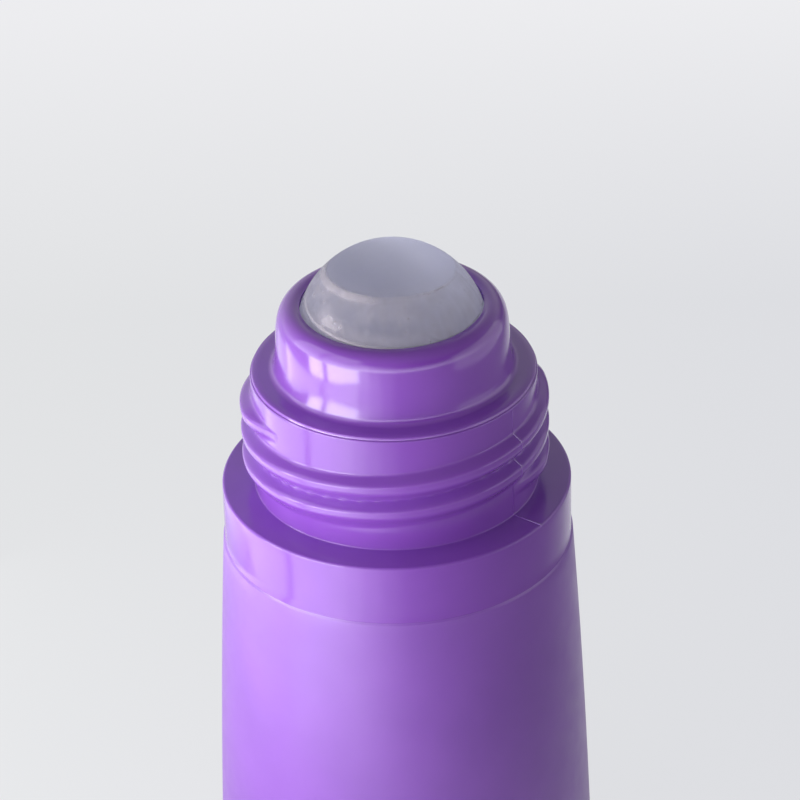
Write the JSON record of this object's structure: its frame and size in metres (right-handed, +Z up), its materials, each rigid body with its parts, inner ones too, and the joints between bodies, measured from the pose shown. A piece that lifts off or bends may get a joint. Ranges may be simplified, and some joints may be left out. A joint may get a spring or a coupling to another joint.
{
  "type": "roll-on bottle",
  "caption": "Roll-on applicator bottle: hollow flared bottle with a flat shoulder and a neck for a screw cap, a ball housing snapped into the neck and a hollow ball that rolls in it.",
  "frame": {"origin": "centre of the ring that the bottle stands on, at the surface under it", "axes": "+Z up along the bottle's axis, -Y towards the pictured front, +X to the right of the picture"},
  "size_m": [0.0416, 0.0416, 0.079],
  "materials": {
    "bottle_plastic": "coloured polypropylene: polished neck, shoulder and upper band, satin panel below",
    "housing_plastic": "polished moulded polypropylene",
    "ball_plastic": "ground and polished natural polypropylene, milky and slightly translucent"
  },
  "bodies": {
    "bottle_body": {"bottle": "bottle_plastic", "ball_housing": "housing_plastic"},
    "ball": {"ball_upper_half": "ball_plastic", "ball_lower_half": "ball_plastic"}
  },
  "joints": [
    {"name": "ball_roll", "type": "hinge", "parent": "bottle_body", "child": "ball", "pos_m": [0, 0, 0.069], "axis": [1, 0, 0], "continuous": true}
  ]
}
